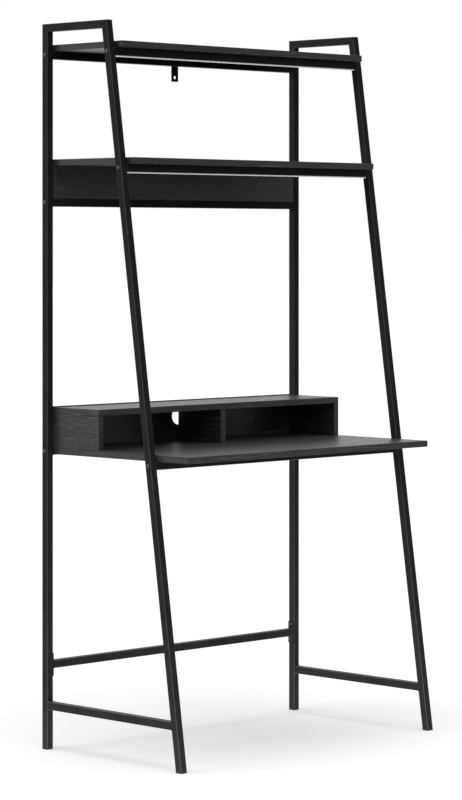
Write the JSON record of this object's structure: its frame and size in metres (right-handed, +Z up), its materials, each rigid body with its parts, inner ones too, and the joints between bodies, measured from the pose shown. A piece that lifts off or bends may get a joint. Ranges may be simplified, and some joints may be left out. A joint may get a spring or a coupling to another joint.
{
  "type": "ladder desk",
  "caption": "Free-standing ladder desk with raked square-tube side frames, open shelves above, a desk board and a low divided hutch with a cable hole.",
  "frame": {"origin": "on the floor, in the middle of the footprint", "axes": "+Z up, -Y to the front where the user sits, +X to the user's right"},
  "size_m": [0.921, 0.505, 1.824],
  "materials": {
    "black_steel": "satin black powder coat",
    "black_oak_board": "black oak-grain melamine",
    "foot_plastic": "moulded black",
    "bolt_steel": "black zinc plate",
    "screw_steel": "bright zinc plate",
    "dowel_wood": "plain beech",
    "cam_zinc": "die-cast zinc",
    "strip_plastic": "milky white plastic"
  },
  "bodies": {
    "root": {"left_rear_post": "black_steel", "left_front_post": "black_steel", "left_top_rail": "black_steel", "left_foot_rail": "black_steel", "right_rear_post": "black_steel", "right_front_post": "black_steel", "right_top_rail": "black_steel", "right_foot_rail": "black_steel", "top_shelf_front_rail": "black_steel", "top_shelf_rear_rail": "black_steel", "middle_shelf_front_rail": "black_steel", "middle_shelf_rear_rail": "black_steel", "desk_front_rail": "black_steel", "desk_rear_rail": "black_steel", "rear_stretcher": "black_steel", "left_stretcher_plate": "black_steel", "right_stretcher_plate": "black_steel", "wall_tab": "black_steel", "top_shelf": "black_oak_board", "middle_shelf": "black_oak_board", "middle_back_panel": "black_oak_board", "desk_top": "black_oak_board", "hutch_top": "black_oak_board", "hutch_left_side": "black_oak_board", "hutch_divider": "black_oak_board", "hutch_right_side": "black_oak_board", "hutch_back": "black_oak_board", "left_rear_foot": "foot_plastic", "left_front_foot": "foot_plastic", "right_rear_foot": "foot_plastic", "right_front_foot": "foot_plastic", "rail_bolts": "bolt_steel", "stretcher_screws": "bolt_steel", "rail_end_plugs": "screw_steel", "stretcher_weld_nuts": "screw_steel", "top_shelf_screws": "screw_steel", "middle_shelf_screws": "screw_steel", "desk_screws": "screw_steel", "middle_panel_screws": "screw_steel", "hutch_back_screws": "screw_steel", "desk_edge_screws": "screw_steel", "hutch_base_screws": "screw_steel", "middle_panel_dowels": "dowel_wood", "hutch_dowels": "dowel_wood", "hutch_cam_bolts": "cam_zinc", "hutch_cam_locks": "cam_zinc", "top_shelf_rail_strip": "strip_plastic", "middle_shelf_rail_strip": "strip_plastic"}
  },
  "joints": []
}
